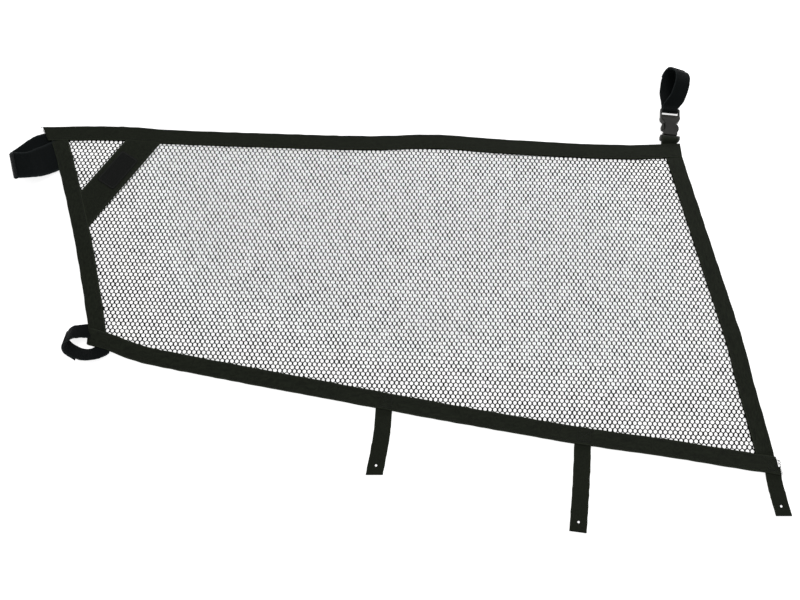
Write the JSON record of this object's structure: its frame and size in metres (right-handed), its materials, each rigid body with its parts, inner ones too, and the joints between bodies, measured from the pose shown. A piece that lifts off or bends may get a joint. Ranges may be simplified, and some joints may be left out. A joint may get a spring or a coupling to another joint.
{
  "type": "vehicle side window net",
  "caption": "Flexible mesh window net with a webbing border, hook-and-loop corner straps, a side-release buckle and screw-down tabs, for the side opening of an open vehicle.",
  "frame": {"origin": "bottom centre of the box of the net lying flat on its back", "axes": "+X across the net towards the buckle side, +Y up the net towards its top edge, +Z out of its front face"},
  "size_m": [1.187, 0.7632, 0.031],
  "materials": {
    "webbing": "woven matt",
    "netting": "coated satin",
    "label": "woven matt",
    "hook_and_loop": "napped matt",
    "buckle": "moulded satin"
  },
  "bodies": {
    "net": {"mesh_panel": "netting", "front_top_webbing": "webbing", "front_bottom_webbing": "webbing", "front_left_webbing": "webbing", "front_right_webbing": "webbing", "back_top_webbing": "webbing", "back_bottom_webbing": "webbing", "back_left_webbing": "webbing", "back_right_webbing": "webbing", "corner_gusset": "webbing", "blank_label": "label"},
    "tab_1": {"bottom_tab_1": "webbing"},
    "tab_2": {"bottom_tab_2": "webbing"},
    "tab_3": {"bottom_tab_3": "webbing"},
    "upper_left_strap": {"upper_left_loop": "hook_and_loop"},
    "upper_left_tail": {"upper_left_hook_tail": "hook_and_loop"},
    "lower_left_strap": {"lower_left_loop": "hook_and_loop"},
    "lower_left_tail": {"lower_left_hook_tail": "hook_and_loop"},
    "buckle_male": {"buckle_anchor_webbing": "webbing", "buckle_male_half": "buckle"},
    "left_arm": {"buckle_left_arm": "buckle"},
    "right_arm": {"buckle_right_arm": "buckle"},
    "buckle_female": {"buckle_female_half": "buckle"},
    "upper_right_strap": {"upper_right_loop": "hook_and_loop"},
    "upper_right_tail": {"upper_right_hook_tail": "hook_and_loop"}
  },
  "joints": [
    {"name": "tab_1_fold", "type": "hinge", "parent": "net", "child": "tab_1", "pos_m": [0.01456, -0.20376, 0.00337], "axis": [-0.9825, 0.1861, 0], "range_deg": [0, 165]},
    {"name": "tab_2_fold", "type": "hinge", "parent": "net", "child": "tab_2", "pos_m": [0.30326, -0.25636, 0.00337], "axis": [-0.9871, 0.16, 0], "range_deg": [0, 165]},
    {"name": "tab_3_fold", "type": "hinge", "parent": "net", "child": "tab_3", "pos_m": [0.57426, -0.29886, 0.00337], "axis": [-0.9866, 0.1629, 0], "range_deg": [0, 165]},
    {"name": "upper_left_strap_fold", "type": "hinge", "parent": "net", "child": "upper_left_strap", "pos_m": [-0.52574, 0.22154, 0.00427], "axis": [-0.4092, 0.9124, 0], "range_deg": [0, 110]},
    {"name": "upper_left_tail_peel", "type": "hinge", "parent": "upper_left_strap", "child": "upper_left_tail", "pos_m": [-0.5738, 0.19049, 0.02519], "axis": [-0.3408, 0.9296, -0.1405], "range_deg": [0, 60]},
    {"name": "lower_left_strap_fold", "type": "hinge", "parent": "net", "child": "lower_left_strap", "pos_m": [-0.43424, -0.06696, 0.00427], "axis": [-0.5501, 0.8351, 0], "range_deg": [0, 100]},
    {"name": "lower_left_tail_peel", "type": "hinge", "parent": "lower_left_strap", "child": "lower_left_tail", "pos_m": [-0.45917, -0.09678, 0.01506], "axis": [-0.0299, 0.864, -0.5026], "range_deg": [0, 60]},
    {"name": "buckle_strap_fold", "type": "hinge", "parent": "net", "child": "buckle_male", "pos_m": [0.47936, 0.24184, 0.00527], "axis": [0.9996, 0.03, 0], "range_deg": [0, 90]},
    {"name": "left_arm_squeeze", "type": "hinge", "parent": "buckle_male", "child": "left_arm", "pos_m": [0.47243, 0.25518, 0.00587], "axis": [0, 0, -1], "range_deg": [0, 9], "stiffness_Nm_per_rad": 0.3},
    {"name": "right_arm_squeeze", "type": "hinge", "parent": "buckle_male", "child": "right_arm", "pos_m": [0.48903, 0.25334, 0.00587], "axis": [0, 0, 1], "range_deg": [0, 9], "stiffness_Nm_per_rad": 0.3},
    {"name": "buckle_release", "type": "slide", "parent": "buckle_male", "child": "buckle_female", "axis": [0.1097, 0.994, 0], "range_m": [0, 0.032], "deforming": ["buckle_left_arm", "buckle_right_arm"]},
    {"name": "upper_right_strap_swing", "type": "hinge", "parent": "buckle_female", "child": "upper_right_strap", "pos_m": [0.48609, 0.30277, 0.00587], "axis": [0.994, -0.1097, 0], "range_deg": [0, 90]},
    {"name": "upper_right_tail_peel", "type": "hinge", "parent": "upper_right_strap", "child": "upper_right_tail", "pos_m": [0.50759, 0.37536, 0.01622], "axis": [0.9549, -0.1393, -0.2621], "range_deg": [0, 60]}
  ]
}
